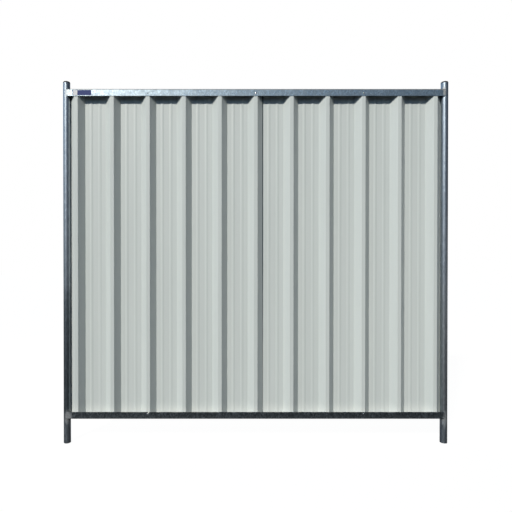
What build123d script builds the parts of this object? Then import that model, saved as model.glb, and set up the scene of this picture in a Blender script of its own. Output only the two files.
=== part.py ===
"""Clad fence panel: a welded tube and channel frame filled with two lapped trapezoidal sheets.

X runs along the panel, Y through it with the front at -Y, and Z up from the ground.
The origin is on the ground, midway between the posts.
"""

import math
import os

from build123d import *

os.makedirs("parts", exist_ok=True)

# Heights
panel_height = 2093.0
leg_length = 143.0
stub_length = 49.0

# Posts, round tube
post_diameter = 40.0
post_wall = 1.5

# End caps, a hollow plug under a bevelled head
cap_head_thickness = 10.0
cap_head_chamfer = 5.5
cap_plug_depth = 16.0
cap_plug_wall = 2.0
cap_fit_clearance = 0.1

# Rails, folded U-channel
rail_height = 40.0
rail_wall = 2.0
rail_bend_radius = 2.0
rail_post_clearance = 0.2
rail_end_set_back = 5.0
rail_notch_clearance = 0.5
rail_corner_rounding = 3.0

# Sheets, roll-formed trapezoidal profile
sheet_thickness = 0.5
rib_pitch = 207.0
crown_width = 21.0
flank_run = 33.0
ribs_per_sheet = 6
sheet_bend_radius = 2.5
swage_width = 20.0
swage_height = 1.5
swage_spacing = 50.0
edge_lip = 2.0
lap_clearance = 0.1
lap_edge_gap = 0.8
underlap_run = 12.0
sheet_front_clearance = 0.3
sheet_back_clearance = 4.6
sheet_post_clearance = 0.5
sheet_top_clearance = 5.0

# Blind rivets, set through the front flange and a crown
rivet_diameter = 4.8
rivet_hole_clearance = 0.1
rivet_head_diameter = 9.6
rivet_head_height = 1.6
rivet_bulb_diameter = 7.2
rivet_bulb_length = 4.0
rivet_bore_diameter = 2.7
mandrel_clearance = 0.05
mandrel_recess = 0.5
mandrel_head_diameter = 4.2
mandrel_head_length = 2.5
top_rivet_from_edge = 16.0
bottom_rivet_from_edge = 12.0
ribs_per_rivet = 3

# Weld beads at the ends of the rail flanges
weld_leg = 5.0
weld_crown = 0.6
weld_end_margin = 4.0
weld_clearance = 0.05

# The channel is folded to take the post
post_radius = post_diameter / 2
rail_inside = post_diameter + 2 * rail_post_clearance
rail_outside = rail_inside + 2 * rail_wall
rail_front = -rail_outside / 2

# The sheet is formed to fill the channel, crowns against the front flange
crown_y = -rail_inside / 2 + sheet_front_clearance
sheet_depth = rail_inside - sheet_front_clearance - sheet_back_clearance - sheet_thickness
pan_y = crown_y + sheet_depth
flank_length = math.hypot(flank_run, sheet_depth)
pitch_count = 2 * (ribs_per_sheet - 1)
cover_width = pitch_count * rib_pitch
lap_rib = ribs_per_sheet
last_rib = pitch_count + 1
lap_set_back = sheet_thickness + lap_clearance
outer_rivet_ribs = (lap_rib - ribs_per_rivet, lap_rib + ribs_per_rivet)
top_rivet_ribs = (*outer_rivet_ribs, lap_rib)
bottom_rivet_ribs = outer_rivet_ribs
sheet_edge = cover_width / 2 + crown_width / 2 + flank_run + edge_lip

# The posts stand just clear of the sheets' edges, and the rails' flanges lap on to them, short of their axes
post_x = sheet_edge + math.sqrt((post_radius + sheet_post_clearance) ** 2 - pan_y**2)
rail_end = post_x - rail_end_set_back

# Levels
post_top = panel_height - cap_head_thickness
top_rail_top = panel_height - stub_length
top_rail_edge = top_rail_top - rail_height
bottom_rail_edge = leg_length + rail_height
sheet_bottom = leg_length + rail_wall + rail_bend_radius
sheet_top = top_rail_top - rail_wall - sheet_top_clearance
top_rivet_z = top_rail_edge + top_rivet_from_edge
bottom_rivet_z = bottom_rail_edge - bottom_rivet_from_edge


def rib_x(number):
    """Centre of a rib, counted from 1 at the left end of the panel."""
    return -cover_width / 2 + (number - 1) * rib_pitch


def rib_points(number, set_back=0.0):
    """Front face of one rib, from foot to foot; set_back nests it behind an equal rib."""
    foot = crown_width / 2 + flank_run - set_back * flank_length / sheet_depth
    crown = crown_width / 2 - set_back * (flank_length - flank_run) / sheet_depth
    return [
        (rib_x(number) - foot, pan_y),
        (rib_x(number) - crown, crown_y + set_back),
        (rib_x(number) + crown, crown_y + set_back),
        (rib_x(number) + foot, pan_y),
    ]


def swage_starts(number):
    """Left feet of the two low stiffening swages in the pan to the right of a rib."""
    middle = rib_x(number) + rib_pitch / 2
    return [middle + side * swage_spacing / 2 - swage_width / 2 for side in (-1, 1)]


def down_flank(crown_point, foot_point, depth):
    """Point on a flank at a depth behind its crown."""
    share = depth / (foot_point[1] - crown_point[1])
    return (crown_point[0] + (foot_point[0] - crown_point[0]) * share, crown_point[1] + depth)


# Left sheet's folds: from a lip beside the post to a free edge at the foot of the lapped rib
left_ribs = {rib: rib_points(rib) for rib in range(1, lap_rib + 1)}
lap_front = left_ribs[lap_rib]
lap_front[3] = down_flank(lap_front[2], lap_front[3], sheet_depth - lap_edge_gap)
left_ribs[1].insert(0, (-sheet_edge, pan_y))

# Right sheet's folds: its first rib nests behind, and starts part of the way down its flank
right_ribs = {rib: rib_points(rib) for rib in range(lap_rib + 1, last_rib + 1)}
lap_behind = rib_points(lap_rib, lap_set_back)
lap_behind[0] = down_flank(lap_behind[1], lap_behind[0], underlap_run)
right_ribs = {lap_rib: lap_behind, **right_ribs}
right_ribs[last_rib].append((sheet_edge, pan_y))

# Sheets: folded ribs and arched swages run up the panel, drilled through the riveted crowns
rivet_places = [(rib, top_rivet_z) for rib in top_rivet_ribs]
rivet_places += [(rib, bottom_rivet_z) for rib in bottom_rivet_ribs]
for name, ribs in (("left_sheet", left_ribs), ("right_sheet", right_ribs)):
    pans = [rib for rib in ribs if rib + 1 in ribs]
    with BuildPart() as sheet:
        with BuildSketch(Plane.XY.offset(sheet_bottom)):
            with BuildLine():
                for rib, folds in ribs.items():
                    before = [(swage_starts(rib - 1)[1] + swage_width, pan_y)] if rib - 1 in pans else []
                    after = [(swage_starts(rib)[0], pan_y)] if rib in pans else []
                    FilletPolyline(*before, *folds, *after, radius=sheet_bend_radius)
                for rib in pans:
                    first, second = swage_starts(rib)
                    Line((first + swage_width, pan_y), (second, pan_y))
                    for foot in (first, second):
                        top = (foot + swage_width / 2, pan_y - swage_height)
                        ThreePointArc((foot, pan_y), top, (foot + swage_width, pan_y))
                offset(amount=sheet_thickness, side=Side.LEFT)
            make_face()
        extrude(amount=sheet_top - sheet_bottom)
        with BuildSketch(Plane.XZ.offset(-pan_y)):
            with Locations(*[(rib_x(rib), z) for rib, z in rivet_places if rib in ribs]):
                Circle(rivet_diameter / 2 + rivet_hole_clearance)
        extrude(amount=sheet_depth + sheet_thickness, mode=Mode.SUBTRACT)
    sheet.part.label = name
    export_step(sheet.part, f"parts/{name}.step")

# Posts: plain tube, open at the foot
for name, x in (("left_post", -post_x), ("right_post", post_x)):
    with BuildPart() as post:
        with BuildSketch():
            with Locations((x, 0)):
                Circle(post_radius)
                Circle(post_radius - post_wall, mode=Mode.SUBTRACT)
        extrude(amount=post_top)
    post.part.label = name
    export_step(post.part, f"parts/{name}.step")

# End caps: a pair of moulded cups pushed into the tubes, under bevelled heads as wide as the posts
plug_radius = post_radius - post_wall - cap_fit_clearance
with BuildPart() as post_caps:
    with BuildSketch(Plane.XY.offset(post_top)):
        with Locations((-post_x, 0), (post_x, 0)):
            Circle(post_radius)
    extrude(amount=cap_head_thickness)
    chamfer(post_caps.edges().group_by(Axis.Z)[-1], length=cap_head_chamfer)
    with BuildSketch(Plane.XY.offset(post_top)):
        with Locations((-post_x, 0), (post_x, 0)):
            Circle(plug_radius)
            Circle(plug_radius - cap_plug_wall, mode=Mode.SUBTRACT)
    extrude(amount=-cap_plug_depth)
post_caps.part.label = "post_caps"
export_step(post_caps.part, "parts/post_caps.step")

# Rails: a folded channel whose web is notched round the posts, so that its flanges lap over them
notch_width = post_diameter + 2 * rail_notch_clearance
notch_height = rail_wall + rail_bend_radius
for name, web_z, edge_z, ribs, rivet_z in (
    ("top_rail", top_rail_top, top_rail_edge, top_rivet_ribs, top_rivet_z),
    ("bottom_rail", leg_length, bottom_rail_edge, bottom_rivet_ribs, bottom_rivet_z),
):
    opens_up = edge_z > web_z
    section = [
        (-rail_outside / 2, edge_z),
        (-rail_outside / 2, web_z),
        (rail_outside / 2, web_z),
        (rail_outside / 2, edge_z),
    ]
    with BuildPart() as rail:
        with BuildSketch(Plane.YZ):
            with BuildLine():
                FilletPolyline(*section, radius=rail_bend_radius + rail_wall)
                offset(amount=rail_wall, side=Side.LEFT if opens_up else Side.RIGHT)
            make_face()
        extrude(amount=rail_end, both=True)
        with BuildSketch(Plane.XY.offset(web_z)):
            for side in (-1, 1):
                with Locations((side * post_x, 0)):
                    Circle(notch_width / 2)
                with Locations((side * (post_x + notch_width / 2), 0)):
                    Rectangle(notch_width, notch_width)
        extrude(amount=notch_height if opens_up else -notch_height, mode=Mode.SUBTRACT)
        flange_corners = rail.edges().filter_by(Axis.Y).filter_by_position(Axis.Z, edge_z, edge_z)
        fillet(flange_corners, radius=rail_corner_rounding)
        with BuildSketch(Plane.XZ):
            with Locations(*[(rib_x(rib), rivet_z) for rib in ribs]):
                Circle(rivet_diameter / 2 + rivet_hole_clearance)
        extrude(amount=rail_outside, mode=Mode.SUBTRACT)
    rail.part.label = name
    export_step(rail.part, f"parts/{name}.step")


def rivet_grip(rib):
    """Depth from the rail's front face to the back of the crown, or crowns, that a rivet holds."""
    set_back = lap_set_back if rib == lap_rib else 0.0
    return crown_y + set_back + sheet_thickness - rail_front


def rivet_body(grip):
    """A set blind rivet's body along +Y: domed head, shank and the bulb that has drawn up behind."""
    bulb_end = grip + rivet_bulb_length
    with BuildPart() as body:
        with BuildSketch():
            with BuildLine():
                dome = TangentArc((0, -rivet_head_height), (rivet_head_diameter / 2, 0), tangent=(1, 0))
                Polyline(
                    dome @ 1,
                    (rivet_diameter / 2, 0),
                    (rivet_diameter / 2, grip),
                    (rivet_bulb_diameter / 2, grip),
                    (rivet_bulb_diameter / 2, bulb_end),
                    (0, bulb_end),
                    dome @ 0,
                )
            make_face()
        revolve(axis=Axis.Y)
        with BuildSketch(Plane.XZ.offset(-bulb_end)):
            Circle(rivet_bore_diameter / 2)
        extrude(amount=bulb_end + rivet_head_height, mode=Mode.SUBTRACT)
    return body.part


def rivet_mandrel(grip):
    """The stem left in a set rivet: broken off below the dome, its head behind the bulb."""
    bulb_end = grip + rivet_bulb_length
    with BuildPart() as mandrel:
        with BuildSketch(Plane.XZ.offset(-bulb_end)):
            Circle(rivet_bore_diameter / 2 - mandrel_clearance)
        extrude(amount=bulb_end + rivet_head_height - mandrel_recess)
        with BuildSketch(Plane.XZ.offset(-bulb_end)):
            Circle(mandrel_head_diameter / 2)
        extrude(amount=-mandrel_head_length)
    return mandrel.part


# Rivets: one group of bodies and one of mandrels for each rail
for rail_name, ribs, rivet_z in (
    ("top_rail", top_rivet_ribs, top_rivet_z),
    ("bottom_rail", bottom_rivet_ribs, bottom_rivet_z),
):
    for name, make_piece in (("rivet_bodies", rivet_body), ("rivet_mandrels", rivet_mandrel)):
        pieces = [make_piece(rivet_grip(rib)) for rib in ribs]
        with BuildPart() as group:
            for rib, piece in zip(ribs, pieces):
                with Locations((rib_x(rib), rail_front, rivet_z)):
                    add(piece)
        group.part.label = f"{rail_name}_{name}"
        export_step(group.part, f"parts/{rail_name}_{name}.step")


def bead_point(reach):
    """Point on the front of the right post, at a reach outwards from its axis."""
    return (post_x + reach, -math.sqrt((post_radius + weld_clearance) ** 2 - reach**2))


# Weld beads: each fills the wedge between a flange's end and the post, on the front and the back
bead_root = rail_end - post_x
bead_middle = bead_root + weld_leg / 2
bead_toe = bead_root + weld_leg
for level, low_z, high_z in (
    ("top", top_rail_edge, top_rail_top),
    ("bottom", leg_length, bottom_rail_edge),
):
    with BuildPart() as right_weld:
        with BuildSketch(Plane.XY.offset(low_z + weld_end_margin)):
            with BuildLine():
                root = Line((rail_end, rail_front), bead_point(bead_root))
                seat = ThreePointArc(root @ 1, bead_point(bead_middle), bead_point(bead_toe))
                SagittaArc(seat @ 1, root @ 0, weld_crown)
            make_face()
        extrude(amount=high_z - low_z - 2 * weld_end_margin)
        mirror(about=Plane.XZ)
    with BuildPart() as left_weld:
        mirror(right_weld.part, about=Plane.YZ)
    for side, weld in (("right", right_weld), ("left", left_weld)):
        weld.part.label = f"{level}_{side}_weld"
        export_step(weld.part, f"parts/{level}_{side}_weld.step")
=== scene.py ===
"""Clad fence panel: finishes for the galvanised frame and grey sheets, and the caps, welds and label.

Metres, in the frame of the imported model: X along the panel, the front at -Y, Z up from the ground.
"""

import math
import random

import bmesh
import bpy
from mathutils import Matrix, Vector


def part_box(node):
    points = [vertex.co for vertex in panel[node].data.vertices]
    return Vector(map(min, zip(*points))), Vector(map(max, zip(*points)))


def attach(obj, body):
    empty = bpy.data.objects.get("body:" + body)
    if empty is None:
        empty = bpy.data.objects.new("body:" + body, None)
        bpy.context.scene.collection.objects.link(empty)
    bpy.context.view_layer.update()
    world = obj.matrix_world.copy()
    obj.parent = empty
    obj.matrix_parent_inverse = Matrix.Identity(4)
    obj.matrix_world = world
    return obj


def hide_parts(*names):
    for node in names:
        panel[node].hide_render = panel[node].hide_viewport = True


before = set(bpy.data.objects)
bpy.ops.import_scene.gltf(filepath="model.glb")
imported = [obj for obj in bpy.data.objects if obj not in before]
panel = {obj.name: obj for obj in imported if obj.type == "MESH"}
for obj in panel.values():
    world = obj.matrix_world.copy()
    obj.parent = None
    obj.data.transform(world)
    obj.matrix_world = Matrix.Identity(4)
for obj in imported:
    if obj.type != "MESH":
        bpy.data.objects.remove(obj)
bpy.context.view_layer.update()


# Posts: two round steel tubes, hot-dip galvanised, whose zinc has set matt in small crystals.
# The left one is darker and duller from about a metre down to the bottom rail, and bright again on its leg
# below the rail.
# At each welded joint with a rail the burnt zinc is touched up with matt zinc paint.
def feed(finish, socket, value):
    """Sets a socket to a value, or links another node's output to it."""
    if isinstance(value, bpy.types.NodeSocket):
        finish.node_tree.links.new(value, socket)
    else:
        socket.default_value = value


def finish_step(finish, kind, inputs, **options):
    """Adds one node to a finish. An input takes a value or another node's output."""
    step = finish.node_tree.nodes.new(kind)
    for option, value in options.items():
        setattr(step, option, value)
    for socket, value in inputs.items():
        feed(finish, step.inputs[socket], value)
    return step


def new_finish(name):
    """A finish with its shader and the piece's own coordinates, in metres."""
    finish = bpy.data.materials.new(name)
    finish.use_nodes = True
    shader = finish.node_tree.nodes["Principled BSDF"]
    place = finish_step(finish, "ShaderNodeTexCoord", {}).outputs["Object"]
    return finish, shader, place


def set_shader(finish, shader, inputs):
    """Sets or links the shader's inputs by name."""
    for socket, value in inputs.items():
        feed(finish, shader.inputs[socket], value)


def maths(finish, operation, first, second=0.0, third=0.0):
    """One sum on values that vary over the surface."""
    inputs = {0: first, 1: second, 2: third}
    return finish_step(finish, "ShaderNodeMath", inputs, operation=operation).outputs[0]


def band(finish, value, low, high, to_low=0.0, to_high=1.0):
    """A smooth change from to_low to to_high while a value goes from low to high."""
    inputs = {"Value": value, "From Min": low, "From Max": high, "To Min": to_low, "To Max": to_high}
    return finish_step(finish, "ShaderNodeMapRange", inputs, interpolation_type="SMOOTHSTEP").outputs[0]


def mixed(finish, share, first, second):
    """A colour that goes from the first to the second as share goes from 0 to 1."""
    first_socket, second_socket, colour_socket = 6, 7, 2
    step = finish_step(finish, "ShaderNodeMix", {"Factor": share}, data_type="RGBA")
    for socket, colour in ((first_socket, first), (second_socket, second)):
        plain = not isinstance(colour, bpy.types.NodeSocket)
        feed(finish, step.inputs[socket], (*colour, 1.0) if plain else colour)
    return step.outputs[colour_socket]


def mottle(finish, place, size, detail=3.0, stretch=(1.0, 1.0, 1.0)):
    """A cloudy value from 0 to 1 whose patches are about as wide as size."""
    stretched = finish_step(finish, "ShaderNodeMapping", {"Vector": place, "Scale": stretch})
    inputs = {"Vector": stretched.outputs[0], "Scale": 1.0 / size, "Detail": detail}
    return finish_step(finish, "ShaderNodeTexNoise", inputs).outputs["Fac"]


post_low, post_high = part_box("right_post")
post_x = (post_low.x + post_high.x) / 2
leg_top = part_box("bottom_rail")[0].z
fold_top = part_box("top_rail")[1].z
joint_levels = [(low.z + high.z) / 2 for low, high in (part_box("bottom_rail"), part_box("top_rail"))]


def zinc_paint_patch(finish, place):
    """How thickly the touch-up paint covers the ends of the rails over the posts, from 0 to 1."""
    joint_paint = (
        dict(side=-1, level=0, cover=0.55, inset=0.012, lift=-0.010, width=0.022, height=0.040),
        dict(side=1, level=0, cover=0.35, inset=0.003, lift=-0.024, width=0.013, height=0.046),
        dict(side=-1, level=1, cover=0.30, inset=0.009, lift=0.0, width=0.012, height=0.026),
        dict(side=1, level=1, cover=0.80, inset=0.010, lift=0.006, width=0.009, height=0.026),
    )
    brush_mark, brush_ragged = 0.010, 1.4
    bare_reach, full_reach = 2.5, 0.7
    ragged = mottle(finish, place, brush_mark)
    axes = finish_step(finish, "ShaderNodeSeparateXYZ", {"Vector": place}).outputs
    covered = None
    for paint in joint_paint:
        width, height = paint["width"], paint["height"]
        middle_x = post_x - paint["inset"]
        middle_z = joint_levels[paint["level"]] + paint["lift"]
        across = maths(finish, "MULTIPLY_ADD", axes["X"], paint["side"] / width, -middle_x / width)
        up = maths(finish, "MULTIPLY_ADD", axes["Z"], 1.0 / height, -middle_z / height)
        reach = maths(finish, "ADD", maths(finish, "POWER", across, 2.0), maths(finish, "POWER", up, 2.0))
        ragged_reach = maths(finish, "MULTIPLY_ADD", ragged, brush_ragged, reach)
        brushed = band(finish, ragged_reach, bare_reach, full_reach, 0.0, paint["cover"])
        covered = brushed if covered is None else maths(finish, "MAXIMUM", covered, brushed)
    return covered


def galvanised(
    name, new_zinc, dull_zinc, roughness, ground_sheen, fold_shade,
    crystal_size, crystal_contrast, crystal_lean, stretch,
):
    """Hot-dip zinc: crystals of different brightness and lean, darker and duller below about a metre except
    on the legs.

    It has painted shade in dull grey on the top fold, a painted reflection that brightens the bottom rail
    towards its lower edge, and zinc paint at the joints.
    """
    zinc_paint = (0.36, 0.355, 0.34)
    fold_shade_grey = (0.155, 0.155, 0.150)
    dull_low, dull_high, dull_ragged = 0.85, 1.25, 0.3
    leg_fade = 0.02
    ground_sheen_start = joint_levels[0] + 0.005
    fold_fade, fold_full = fold_top - 0.0062, fold_top - 0.0036
    crystal_warp = 0.6
    cloud_size, cloud_depth = 0.06, 0.12
    feather_depth = 0.10
    skin_grain = 0.003
    paint_metal, paint_rough = -0.8, 0.2
    finish, shader, place = new_finish(name)
    warp = finish_step(
        finish, "ShaderNodeTexNoise", {"Vector": place, "Scale": crystal_warp / crystal_size}
    )
    warped = finish_step(
        finish, "ShaderNodeVectorMath", {0: warp.outputs["Color"], 1: (crystal_size,) * 3, 2: place},
        operation="MULTIPLY_ADD",
    )
    stretched = finish_step(finish, "ShaderNodeMapping", {"Vector": warped.outputs[0], "Scale": stretch})
    crystals = finish_step(
        finish, "ShaderNodeTexVoronoi", {"Vector": stretched.outputs[0], "Scale": 1.0 / crystal_size}
    )
    crystal = finish_step(finish, "ShaderNodeSeparateColor", {"Color": crystals.outputs["Color"]}).outputs
    cloud = mottle(finish, place, cloud_size)
    height = finish_step(finish, "ShaderNodeSeparateXYZ", {"Vector": place}).outputs["Z"]
    spangle_low = 1.0 - cloud_depth / 2 - crystal_contrast
    spangle_and_sheen = maths(finish, "POWER", crystal[0], 2.0)
    spangle_and_sheen = maths(finish, "MULTIPLY_ADD", spangle_and_sheen, 3.0 * crystal_contrast, spangle_low)
    spangle_and_sheen = maths(finish, "MULTIPLY_ADD", cloud, cloud_depth, spangle_and_sheen)
    # Painted reflection: the bottom rail's zinc is brightened towards its lower edge, standing in for the
    # lit ground it mirrors.
    spangle_and_sheen = maths(finish, "ADD", spangle_and_sheen, band(finish, height, ground_sheen_start, leg_top, 0.0, ground_sheen))
    # Below about a metre the zinc turns darker and duller, except on the legs under the bottom rail.
    dull_line = maths(finish, "MULTIPLY_ADD", cloud, dull_ragged, height)
    bright_share = maths(
        finish, "MAXIMUM", band(finish, dull_line, dull_low, dull_high),
        band(finish, height, leg_top, leg_top - leg_fade),
    )
    zinc = mixed(finish, bright_share, dull_zinc, new_zinc)
    spangled = finish_step(finish, "ShaderNodeVectorMath", {0: zinc, "Scale": spangle_and_sheen}, operation="SCALE")
    patch = zinc_paint_patch(finish, place)
    painted = mixed(finish, patch, spangled.outputs[0], zinc_paint)
    # Painted shade: the top fold of the top rail turns dull dark grey, standing in for the dim sky it
    # mirrors.
    shaded_fold = band(finish, height, fold_fade, fold_full, 0.0, fold_shade)
    matt = maths(finish, "MAXIMUM", patch, shaded_fold)
    feather = maths(finish, "MULTIPLY_ADD", crystal[1], feather_depth, roughness - feather_depth / 2)
    normal = finish_step(finish, "ShaderNodeNewGeometry", {}).outputs["Normal"]
    lean = finish_step(
        finish, "ShaderNodeVectorMath", {0: crystals.outputs["Color"], 1: (0.5, 0.5, 0.5)},
        operation="SUBTRACT",
    )
    leaning = finish_step(
        finish, "ShaderNodeVectorMath", {0: lean.outputs[0], 1: (crystal_lean,) * 3, 2: normal},
        operation="MULTIPLY_ADD",
    )
    facing = finish_step(finish, "ShaderNodeVectorMath", {0: leaning.outputs[0]}, operation="NORMALIZE")
    skin = finish_step(finish, "ShaderNodeBump", {
        "Height": mottle(finish, place, skin_grain), "Strength": 0.2, "Distance": 0.0003,
        "Normal": facing.outputs[0],
    })
    set_shader(finish, shader, {
        "Base Color": mixed(finish, shaded_fold, painted, fold_shade_grey),
        "Metallic": maths(finish, "MULTIPLY_ADD", matt, paint_metal, 1.0),
        "Roughness": maths(finish, "MULTIPLY_ADD", matt, paint_rough, feather),
        "Normal": skin.outputs[0],
    })
    return finish


tube_zinc = (0.345, 0.393, 0.435)
for post, dull_tube in (("left_post", (0.150, 0.178, 0.200)), ("right_post", (0.360, 0.395, 0.412))):
    panel[post].data.materials[0] = galvanised(
        f"{post}_zinc", tube_zinc, dull_tube, roughness=0.43, ground_sheen=0.0, fold_shade=0.0,
        crystal_size=0.006, crystal_contrast=0.07, crystal_lean=0.02, stretch=(1.0, 1.0, 0.35),
    )


# Post caps: a black moulded plastic plug pushed into the open top of each post to keep rain out.
# Its domed head is as wide as the tube, with a sharp moulding line round it and a gate mark on top.
cap_black = (0.010, 0.010, 0.011)
cap_worn = (0.028, 0.028, 0.030)
cap_patch, cap_pore = 0.012, 0.0008
worn_start, worn_full = 0.35, 0.75
cloud_thin, cloud_thick = 0.2, 0.8
cap_plastic, cap_shader, cap_place = new_finish("cap_plastic")
cap_cloud = mottle(cap_plastic, cap_place, cap_patch)
cap_wear = band(cap_plastic, cap_cloud, worn_start, worn_full)
cap_grain = finish_step(
    cap_plastic, "ShaderNodeBump",
    {"Height": mottle(cap_plastic, cap_place, cap_pore), "Strength": 0.3, "Distance": 0.0002},
)
set_shader(cap_plastic, cap_shader, {
    "Base Color": mixed(cap_plastic, cap_wear, cap_black, cap_worn),
    "Roughness": band(cap_plastic, cap_cloud, cloud_thin, cloud_thick, 0.6, 0.75),
    "Specular IOR Level": 0.3,
    "Normal": cap_grain.outputs[0],
})
post_radius = (post_high.x - post_low.x) / 2
cap_seat = post_high.z
cap_low, cap_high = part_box("post_caps")
plug_nose, plug_radius = post_radius - 0.0036, post_radius - 0.0018
plug_taper = 0.002
plug_neck = post_radius - 0.0016
cap_bevel = 0.0004
moulding_line = 0.0003
cap_rounding = 0.006
cap_crown = 0.0012
cap_skirt = cap_high.z - cap_rounding - cap_crown
rounding_steps = 9
cap_profile = [
    (0.0, cap_low.z),
    (plug_nose, cap_low.z),
    (plug_radius, cap_low.z + plug_taper),
    (plug_neck, cap_seat),
    (post_radius - cap_bevel, cap_seat),
    (post_radius, cap_seat + cap_bevel),
    (post_radius, cap_skirt - cap_bevel),
    (post_radius - moulding_line, cap_skirt),
]
for step in range(1, rounding_steps + 1):
    share = step / rounding_steps
    angle = math.radians(90.0 * share)
    cap_profile.append((
        post_radius - cap_rounding * (1.0 - math.cos(angle)) - moulding_line * (1.0 - share),
        cap_skirt + cap_rounding * math.sin(angle),
    ))
for gate_radius, gate_depth in (
    (0.010, 0.0005), (0.0052, 0.0001), (0.0045, 0.0006), (0.0030, 0.0006), (0.0024, 0.0001), (0.0, 0.0),
):
    cap_profile.append((gate_radius, cap_high.z - gate_depth))
cap_turns = 72
cap_angles = [2.0 * math.pi * turn / cap_turns for turn in range(cap_turns)]
cap_form = bmesh.new()
for side in (-1.0, 1.0):
    cap_rings = []
    for radius, z in cap_profile:
        if radius == 0.0:
            cap_rings.append([cap_form.verts.new((side * post_x, 0.0, z))] * cap_turns)
            continue
        cap_rings.append([
            cap_form.verts.new((side * post_x + radius * math.cos(angle), radius * math.sin(angle), z))
            for angle in cap_angles
        ])
    for below, above in zip(cap_rings, cap_rings[1:]):
        for here in range(cap_turns):
            after = (here + 1) % cap_turns
            corners = (below[here], below[after], above[after], above[here])
            cap_form.faces.new(tuple(dict.fromkeys(corners)))
bmesh.ops.recalc_face_normals(cap_form, faces=cap_form.faces)
for facet in cap_form.faces:
    facet.smooth = True
cap_mesh = bpy.data.meshes.new("domed_post_caps")
cap_form.to_mesh(cap_mesh)
cap_form.free()
cap_mesh.materials.append(cap_plastic)
domed_caps = bpy.data.objects.new("domed_post_caps", cap_mesh)
bpy.context.scene.collection.objects.link(domed_caps)
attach(domed_caps, "root")
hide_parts("post_caps")


# Rails: two U-channels folded from galvanised strip, one over the top of the sheets and one under them.
# Strip zinc sets in wide feathery crystals, so the flat flanges glitter in patches.
# The top fold is painted dull grey as painted shade, and the bottom rail is brightened towards its lower
# edge as a painted reflection of the ground.
new_strip = (0.422, 0.492, 0.527)
dull_strip = (0.218, 0.250, 0.272)
top_rail_low, top_rail_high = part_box("top_rail")
for rail, ground_sheen, fold_shade, crystal_contrast in (
    ("top_rail", 0.0, 0.9, 0.17),
    ("bottom_rail", 0.35, 0.0, 0.30),
):
    panel[rail].data.materials[0] = galvanised(
        f"{rail}_zinc", new_strip, dull_strip, roughness=0.37, ground_sheen=ground_sheen, fold_shade=fold_shade,
        crystal_size=0.0075, crystal_contrast=crystal_contrast, crystal_lean=0.06, stretch=(1.2, 1.0, 0.75),
    )


# Sheets: two lengths of thin roll-formed steel with a light grey baked coating, satin and even.
# They are lapped on the middle rib, slid into both channels and riveted there.
# Low down they are paler in a ragged band by the bottom rail, and a thin dark line of painted shade runs
# along the front edge of the lap.
coating_grey = (0.503, 0.544, 0.528)
coating_pale = (0.543, 0.584, 0.567)
coating_patch, coating_pore = 0.05, 0.0015
# The coating turns paler in a ragged band low down, by the bottom rail.
low_pale = (0.72, 0.75, 0.71)
low_pale_top, low_pale_full, low_pale_most = 0.230, 0.130, 0.9
low_pale_patch, low_pale_ragged = 0.025, -0.03
# Painted shade: a thin dark line on the front of the right sheet where the lapped edge throws its shadow,
# fainter low down.
lap_shade = (0.03, 0.05, 0.065)
lap_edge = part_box("left_sheet")[1].x
lap_shade_middle, lap_shade_reach, lap_shade_core = lap_edge + 0.0006, 0.0042, 0.0018
lap_shade_low, lap_shade_high, lap_shade_thin = 0.3, 1.3, 0.5
front_edge, front_full = 0.0, -0.3
sheet_coating, coating_shader, coating_place = new_finish("sheet_coating")
coating_axes = finish_step(sheet_coating, "ShaderNodeSeparateXYZ", {"Vector": coating_place}).outputs
coating_normal = finish_step(sheet_coating, "ShaderNodeNewGeometry", {}).outputs["Normal"]
coating_facing = finish_step(sheet_coating, "ShaderNodeSeparateXYZ", {"Vector": coating_normal}).outputs
coating_cloud = mottle(sheet_coating, coating_place, coating_patch, stretch=(1.0, 1.0, 0.08))
low_pale_cloud = mottle(sheet_coating, coating_place, low_pale_patch, detail=6.0, stretch=(1.0, 1.0, 0.4))
low_pale_line = maths(sheet_coating, "MULTIPLY_ADD", low_pale_cloud, low_pale_ragged, coating_axes["Z"])
low_pale_share = band(sheet_coating, low_pale_line, low_pale_top, low_pale_full, 0.0, low_pale_most)
from_middle = maths(sheet_coating, "SUBTRACT", coating_axes["X"], lap_shade_middle)
from_lap = maths(sheet_coating, "ABSOLUTE", from_middle)
lap_shade_share = maths(
    sheet_coating, "MULTIPLY", band(sheet_coating, from_lap, lap_shade_reach, lap_shade_core),
    band(sheet_coating, coating_axes["Z"], lap_shade_low, lap_shade_high, lap_shade_thin, 1.0),
)
lap_shade_share = maths(
    sheet_coating, "MULTIPLY", lap_shade_share,
    band(sheet_coating, coating_facing["Y"], front_edge, front_full),
)
coating_skin = finish_step(sheet_coating, "ShaderNodeBump", {
    "Height": mottle(sheet_coating, coating_place, coating_pore, detail=1.0),
    "Strength": 0.12, "Distance": 0.0002,
})
even_coating = mixed(sheet_coating, coating_cloud, coating_grey, coating_pale)
low_pale_coating = mixed(sheet_coating, low_pale_share, even_coating, low_pale)
set_shader(sheet_coating, coating_shader, {
    "Base Color": mixed(sheet_coating, lap_shade_share, low_pale_coating, lap_shade),
    "Roughness": band(sheet_coating, coating_cloud, cloud_thin, cloud_thick, 0.42, 0.50),
    "Normal": coating_skin.outputs[0],
})
for sheet in ("left_sheet", "right_sheet"):
    panel[sheet].data.materials[0] = sheet_coating


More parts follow.
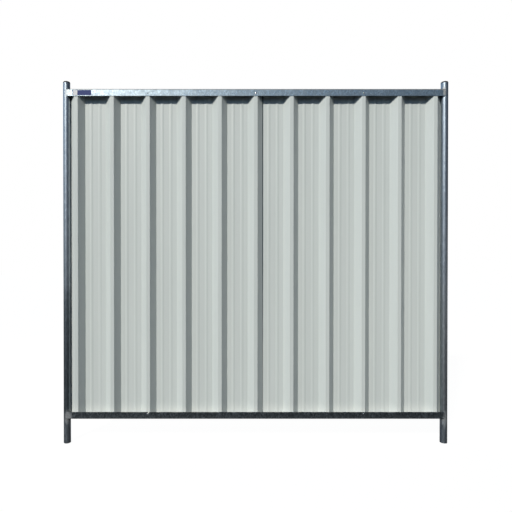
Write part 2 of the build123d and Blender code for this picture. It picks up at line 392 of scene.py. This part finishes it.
# Rivets: aluminium blind rivets through the front flange and a crown of the sheet behind it.
# Each keeps the broken end of its plated steel mandrel in the middle of its domed head.
body_dull, body_bright = (0.52, 0.52, 0.51), (0.76, 0.76, 0.75)
body_patch = 0.003
rivet_body, body_shader, body_place = new_finish("rivet_body")
body_cloud = mottle(rivet_body, body_place, body_patch)
set_shader(rivet_body, body_shader, {
    "Base Color": mixed(rivet_body, body_cloud, body_dull, body_bright),
    "Metallic": 1.0,
    "Roughness": band(rivet_body, body_cloud, cloud_thin, cloud_thick, 0.16, 0.24),
})
mandrel_dark, mandrel_plated = (0.06, 0.055, 0.05), (0.20, 0.19, 0.18)
mandrel_patch = 0.001
rivet_mandrel, mandrel_shader, mandrel_place = new_finish("rivet_mandrel")
mandrel_cloud = mottle(rivet_mandrel, mandrel_place, mandrel_patch)
set_shader(rivet_mandrel, mandrel_shader, {
    "Base Color": mixed(rivet_mandrel, mandrel_cloud, mandrel_dark, mandrel_plated),
    "Metallic": 1.0,
    "Roughness": band(rivet_mandrel, mandrel_cloud, cloud_thin, cloud_thick, 0.45, 0.65),
})
for rail in ("top_rail", "bottom_rail"):
    panel[f"{rail}_rivet_bodies"].data.materials[0] = rivet_body
    panel[f"{rail}_rivet_mandrels"].data.materials[0] = rivet_mandrel


# Welds: a short upright bead at the end of each rail flange, laid by hand and then painted with zinc.
# The weld pool leaves overlapping ripples and a fat blob where the arc starts and stops.
bead_dull, bead_bright = (0.24, 0.25, 0.26), (0.44, 0.46, 0.48)
bead_patch = 0.004
weld_bead, bead_shader, bead_place = new_finish("weld_bead")
bead_cloud = mottle(weld_bead, bead_place, bead_patch)
set_shader(weld_bead, bead_shader, {
    "Base Color": mixed(weld_bead, bead_cloud, bead_dull, bead_bright),
    "Metallic": 0.8,
    "Roughness": band(weld_bead, bead_cloud, cloud_thin, cloud_thick, 0.38, 0.55),
})
rail_end = top_rail_high.x
rail_front = -top_rail_low.y
bead_leg, end_leg, leg_wander = 0.005, 0.55, 0.1
bead_root, root_sink = 0.0006, 0.0012
bead_crown = 0.0003
bead_end = 0.003
blob_height, blob_place, blob_reach = 0.0005, 0.0035, 0.0022
ripple_pitch, ripple_height, ripple_curl = 0.0024, 0.00042, 0.55
wander_rates, wander_phases, wander_sizes = (150, 420), (0, 6.3), (0.1, 0.25)
wander_waves = 3
bead_stations = 64
bead_arc = 9
bead_back = ((0.9, 0.7), (0.9, 0.15))
bead_rng = random.Random(11)


def lay_bead(form, side, face, low_z, high_z):
    """A closed rippled fillet from a flange's end down on to the post, on one face of one joint."""
    wander = [
        [bead_rng.uniform(*limits) for limits in (wander_rates, wander_phases, wander_sizes)]
        for _ in range(wander_waves)
    ]
    rings = []
    for station in range(bead_stations + 1):
        along = station / bead_stations
        z = low_z + (high_z - low_z) * along
        from_end = min(along, 1.0 - along) * (high_z - low_z)
        swell = math.sqrt(max(0.0, 1.0 - (1.0 - min(from_end / bead_end, 1.0)) ** 2))
        blob = blob_height * math.exp(-((from_end - blob_place) / blob_reach) ** 2)
        wobble = sum(size * math.sin(rate * z + phase) for rate, phase, size in wander)
        leg = bead_leg * (1.0 - leg_wander + leg_wander * wobble) * (end_leg + (1.0 - end_leg) * swell)
        toe_reach = rail_end - post_x + leg
        root_reach = rail_end - post_x - bead_root
        toe = Vector((toe_reach, math.sqrt(post_radius**2 - toe_reach**2)))
        root = Vector((root_reach, rail_front - root_sink * (1.0 - swell)))
        chord = toe - root
        outward = Vector((-chord.y, chord.x)).normalized()
        ring = []
        for step in range(bead_arc + 1):
            share = step / bead_arc
            arch = 4.0 * share * (1.0 - share)
            curl = z / ripple_pitch + ripple_curl * (2.0 * share - 1.0) ** 2
            ripple = ripple_height * abs(math.sin(math.pi * curl)) * arch**0.5
            rise = (bead_crown + blob) * arch * swell + ripple * swell
            ring.append(root + chord * share + outward * rise)
        for depth, share in bead_back:
            ring.append((root + chord * share) * depth)
        rings.append([
            form.verts.new((side * (post_x + point.x), face * point.y, z)) for point in ring
        ])
    for low_ring, high_ring in zip(rings, rings[1:]):
        for here in range(len(low_ring)):
            after = (here + 1) % len(low_ring)
            form.faces.new((low_ring[here], low_ring[after], high_ring[after], high_ring[here]))
    form.faces.new(rings[0])
    form.faces.new(rings[-1])


for level in ("top", "bottom"):
    for side_name, side in (("left", -1.0), ("right", 1.0)):
        node = f"{level}_{side_name}_weld"
        weld_low, weld_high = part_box(node)
        weld_form = bmesh.new()
        for face in (-1.0, 1.0):
            lay_bead(weld_form, side, face, weld_low.z, weld_high.z)
        bmesh.ops.recalc_face_normals(weld_form, faces=weld_form.faces)
        for facet in weld_form.faces:
            facet.smooth = True
        weld_mesh = bpy.data.meshes.new(f"{node}_rippled")
        weld_form.to_mesh(weld_mesh)
        weld_form.free()
        weld_mesh.materials.append(weld_bead)
        weld = bpy.data.objects.new(f"{node}_rippled", weld_mesh)
        bpy.context.scene.collection.objects.link(weld)
        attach(weld, "root")
        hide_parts(node)


# Label: a plain plastic film stuck to the front of the top rail near its left end.
# It is blue with a bare white box at one end; round corners keep it from lifting.
label_left, label_right = -1.0545, -0.946
label_low, label_high = top_rail_low.z + 0.0028, top_rail_low.z + 0.0332
label_corner = 0.003
label_film = 0.0003
corner_steps = 6
label_outline = []
for corner_x, corner_z, turn in (
    (label_right - label_corner, label_high - label_corner, 0.0),
    (label_left + label_corner, label_high - label_corner, 90.0),
    (label_left + label_corner, label_low + label_corner, 180.0),
    (label_right - label_corner, label_low + label_corner, 270.0),
):
    for step in range(corner_steps + 1):
        angle = math.radians(turn + 90.0 * step / corner_steps)
        label_outline.append((
            corner_x + label_corner * math.cos(angle), corner_z + label_corner * math.sin(angle)
        ))
label_form = bmesh.new()
label_rims = []
label_x, label_z = (label_left + label_right) / 2, (label_low + label_high) / 2
for rim_y, rim_scale in ((0.0, 1.0), (-0.7 * label_film, 1.0), (-label_film, 0.997)):
    label_rims.append([
        label_form.verts.new((
            label_x + (x - label_x) * rim_scale, top_rail_low.y + rim_y, label_z + (z - label_z) * rim_scale
        ))
        for x, z in label_outline
    ])
for inner_rim, outer_rim in zip(label_rims, label_rims[1:]):
    for here in range(len(inner_rim)):
        after = (here + 1) % len(inner_rim)
        label_form.faces.new((inner_rim[here], inner_rim[after], outer_rim[after], outer_rim[here]))
label_form.faces.new(label_rims[0])
label_form.faces.new(label_rims[-1])
bmesh.ops.recalc_face_normals(label_form, faces=label_form.faces)
label_mesh = bpy.data.meshes.new("blank_label")
label_form.to_mesh(label_mesh)
label_form.free()
label = bpy.data.objects.new("blank_label", label_mesh)
bpy.context.scene.collection.objects.link(label)
blue_deep, blue_faded = (0.024, 0.038, 0.135), (0.040, 0.056, 0.19)
white_grey, white_clean = (0.62, 0.62, 0.64), (0.74, 0.74, 0.75)
label_patch = 0.008
box_width, box_margin, box_border, box_soft_edge = 0.025, 0.004, 0.0015, 0.0003
box_left = label_left + box_margin
box_edges = (
    ("X", box_left, 1), ("X", box_left + box_width, -1),
    ("Z", label_low + box_border, 1), ("Z", label_high - box_border, -1),
)
blank_label, label_shader, label_place = new_finish("blank_label")
label_axes = finish_step(blank_label, "ShaderNodeSeparateXYZ", {"Vector": label_place}).outputs
label_cloud = mottle(blank_label, label_place, label_patch)
label_blue = mixed(blank_label, label_cloud, blue_deep, blue_faded)
label_white = mixed(blank_label, label_cloud, white_grey, white_clean)
box_share = None
for axis, edge, inwards in box_edges:
    inside = band(blank_label, label_axes[axis], edge, edge + inwards * box_soft_edge)
    box_share = inside if box_share is None else maths(blank_label, "MULTIPLY", box_share, inside)
set_shader(blank_label, label_shader, {
    "Base Color": mixed(blank_label, box_share, label_blue, label_white),
    "Roughness": band(blank_label, label_cloud, cloud_thin, cloud_thick, 0.55, 0.68),
    "Specular IOR Level": 0.25,
})
label_mesh.materials.append(blank_label)
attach(label, "root")


# Floor: a plain pale floor that carries the panel's soft shadow and runs out into a white background.
# The panel's metal mirrors it dark close in front, like damp ground, and pale further off and behind.
floor_size = 40.0
floor_white = 0.97
mirrored_near, mirrored_right, mirrored_far, mirrored_behind = 0.035, 0.13, 0.60, 1.0
behind_start, behind_full, behind_spread = 0.1, 0.9, -0.8
right_start, right_full = 1.5, 4.5
far_start, far_full = 4.0, 9.0
floor_mesh = bpy.data.meshes.new("floor")
floor_form = bmesh.new()
bmesh.ops.create_grid(floor_form, x_segments=1, y_segments=1, size=floor_size / 2)
floor_form.to_mesh(floor_mesh)
floor_form.free()
floor = bpy.data.objects.new("floor", floor_mesh)
bpy.context.scene.collection.objects.link(floor)
floor_pale, floor_shader, floor_place = new_finish("floor_pale")
floor_path = finish_step(floor_pale, "ShaderNodeLightPath", {}).outputs
floor_axes = finish_step(floor_pale, "ShaderNodeSeparateXYZ", {"Vector": floor_place}).outputs
floor_away = finish_step(floor_pale, "ShaderNodeVectorMath", {0: floor_place}, operation="LENGTH").outputs
floor_beside = maths(floor_pale, "SUBTRACT", maths(floor_pale, "ABSOLUTE", floor_axes["X"]), post_x)
floor_beside = maths(floor_pale, "MAXIMUM", floor_beside, 0.0)
floor_behind = maths(floor_pale, "MULTIPLY_ADD", floor_beside, behind_spread, floor_axes["Y"])
floor_mirrored = maths(
    floor_pale, "MAXIMUM",
    band(floor_pale, floor_behind, behind_start, behind_full, mirrored_near, mirrored_behind),
    band(floor_pale, floor_axes["X"], right_start, right_full, mirrored_near, mirrored_right),
)
floor_mirrored = maths(
    floor_pale, "MAXIMUM", floor_mirrored,
    band(floor_pale, floor_away["Value"], far_start, far_full, mirrored_near, mirrored_far),
)
floor_mirrored = maths(floor_pale, "MULTIPLY", floor_path["Is Glossy Ray"], floor_mirrored)
floor_seen = maths(floor_pale, "MAXIMUM", floor_path["Is Camera Ray"], floor_path["Is Transmission Ray"])
floor_seen = maths(floor_pale, "MAXIMUM", floor_seen, floor_mirrored)
set_shader(floor_pale, floor_shader, {
    "Base Color": (0.03, 0.03, 0.03, 1.0),
    "Roughness": 0.9,
    "Specular IOR Level": 0.0,
    "Emission Color": (1.0, 1.0, 1.0, 1.0),
    "Emission Strength": maths(floor_pale, "MULTIPLY", floor_seen, floor_white),
})
floor_mesh.materials.append(floor_pale)


# Light: one main lamp high on the left in front, and a soft lamp behind on the left.
# The room is a soft blue light from above, dim at eye level and towards the right.
# It is white where the camera sees it, and where metal mirrors the backdrop behind the panel.
main_lamp = bpy.data.lights.new("main_lamp", "SUN")
main_lamp.energy = 3.98
main_lamp.angle = math.radians(4.0)
main_lamp.color = (1.0, 0.95, 0.87)
main_lamp_object = bpy.data.objects.new("main_lamp", main_lamp)
bpy.context.scene.collection.objects.link(main_lamp_object)
lamp_left = math.radians(31.0)
lamp_up = math.radians(38.8)
lamp_from = Vector((
    -math.sin(lamp_left) * math.cos(lamp_up), -math.cos(lamp_left) * math.cos(lamp_up), math.sin(lamp_up)
))
main_lamp_object.rotation_euler = lamp_from.to_track_quat("Z", "Y").to_euler()

back_lamp = bpy.data.lights.new("back_lamp", "AREA")
back_lamp.shape = "RECTANGLE"
back_lamp.size = 3.0
back_lamp.size_y = 2.0
back_lamp.energy = 95.0
back_lamp.color = (1.0, 0.90, 0.78)
back_lamp_object = bpy.data.objects.new("back_lamp", back_lamp)
bpy.context.scene.collection.objects.link(back_lamp_object)
back_lamp_object.location = (-2.4, 2.2, 2.4)
back_lamp_aim = Vector((0.0, 0.0, 1.0))
back_lamp_from = back_lamp_object.location - back_lamp_aim
back_lamp_object.rotation_euler = back_lamp_from.to_track_quat("Z", "Y").to_euler()
back_lamp_object.visible_camera = False
back_lamp_object.visible_glossy = False

horizon_sky, open_sky, high_sky = (0.015, 0.02, 0.03), (0.293, 0.452, 0.665), (0.15, 0.225, 0.36)
horizon_end, open_level, high_start, high_level = 0.0, 0.35, 0.5, 0.95
left_side, right_side = -0.7, 0.85
left_strength, right_strength = 1.30, 0.23
backdrop_edge, backdrop_full = 0.72, 0.95
room = bpy.data.worlds.new("room")
bpy.context.scene.world = room
room.use_nodes = True
room_shader = room.node_tree.nodes["Background"]
room_out = room.node_tree.nodes["World Output"]
direction = finish_step(room, "ShaderNodeTexCoord", {}).outputs["Generated"]
towards = finish_step(room, "ShaderNodeSeparateXYZ", {"Vector": direction}).outputs
seen = finish_step(room, "ShaderNodeLightPath", {}).outputs
sky = mixed(room, band(room, towards["Z"], horizon_end, open_level), horizon_sky, open_sky)
sky = mixed(room, band(room, towards["Z"], high_start, high_level), sky, high_sky)
set_shader(room, room_shader, {
    "Color": sky,
    "Strength": band(room, towards["X"], left_side, right_side, left_strength, right_strength),
})
backdrop = band(room, towards["Y"], backdrop_edge, backdrop_full)
backdrop = maths(room, "MULTIPLY", seen["Is Glossy Ray"], backdrop)
white_share = maths(room, "MAXIMUM", seen["Is Camera Ray"], seen["Is Transmission Ray"])
white_share = maths(room, "MAXIMUM", white_share, backdrop)
white_room = finish_step(room, "ShaderNodeBackground", {"Color": (1.0, 1.0, 1.0, 1.0), "Strength": 1.0})
room_mix = finish_step(
    room, "ShaderNodeMixShader", {0: white_share, 1: room_shader.outputs[0], 2: white_room.outputs[0]}
)
room.node_tree.links.new(room_mix.outputs[0], room_out.inputs["Surface"])


# Camera: it stands in front of the panel, square to it and tipped down a little.
# It is left of the panel's middle, and its shift brings the panel to its place in the photograph's frame.
crown_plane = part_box("left_sheet")[0].y
camera_distance = 2.504
camera_height = 1.0984
camera_aside = -0.224
camera_tip = 0.341
focal_pixels = 434.6
axis_pixel = 216.91
image_pixels = 512.0
camera = bpy.data.cameras.new("camera")
camera.sensor_width = 36.0
camera.lens = focal_pixels / image_pixels * camera.sensor_width
camera.shift_x = (image_pixels / 2 - axis_pixel) / image_pixels
camera_object = bpy.data.objects.new("camera", camera)
bpy.context.scene.collection.objects.link(camera_object)
camera_object.location = (camera_aside, crown_plane - camera_distance, camera_height)
camera_object.rotation_euler = (math.radians(90.0 - camera_tip), 0.0, 0.0)
bpy.context.scene.camera = camera_object
bpy.context.scene.view_settings.view_transform = "Standard"
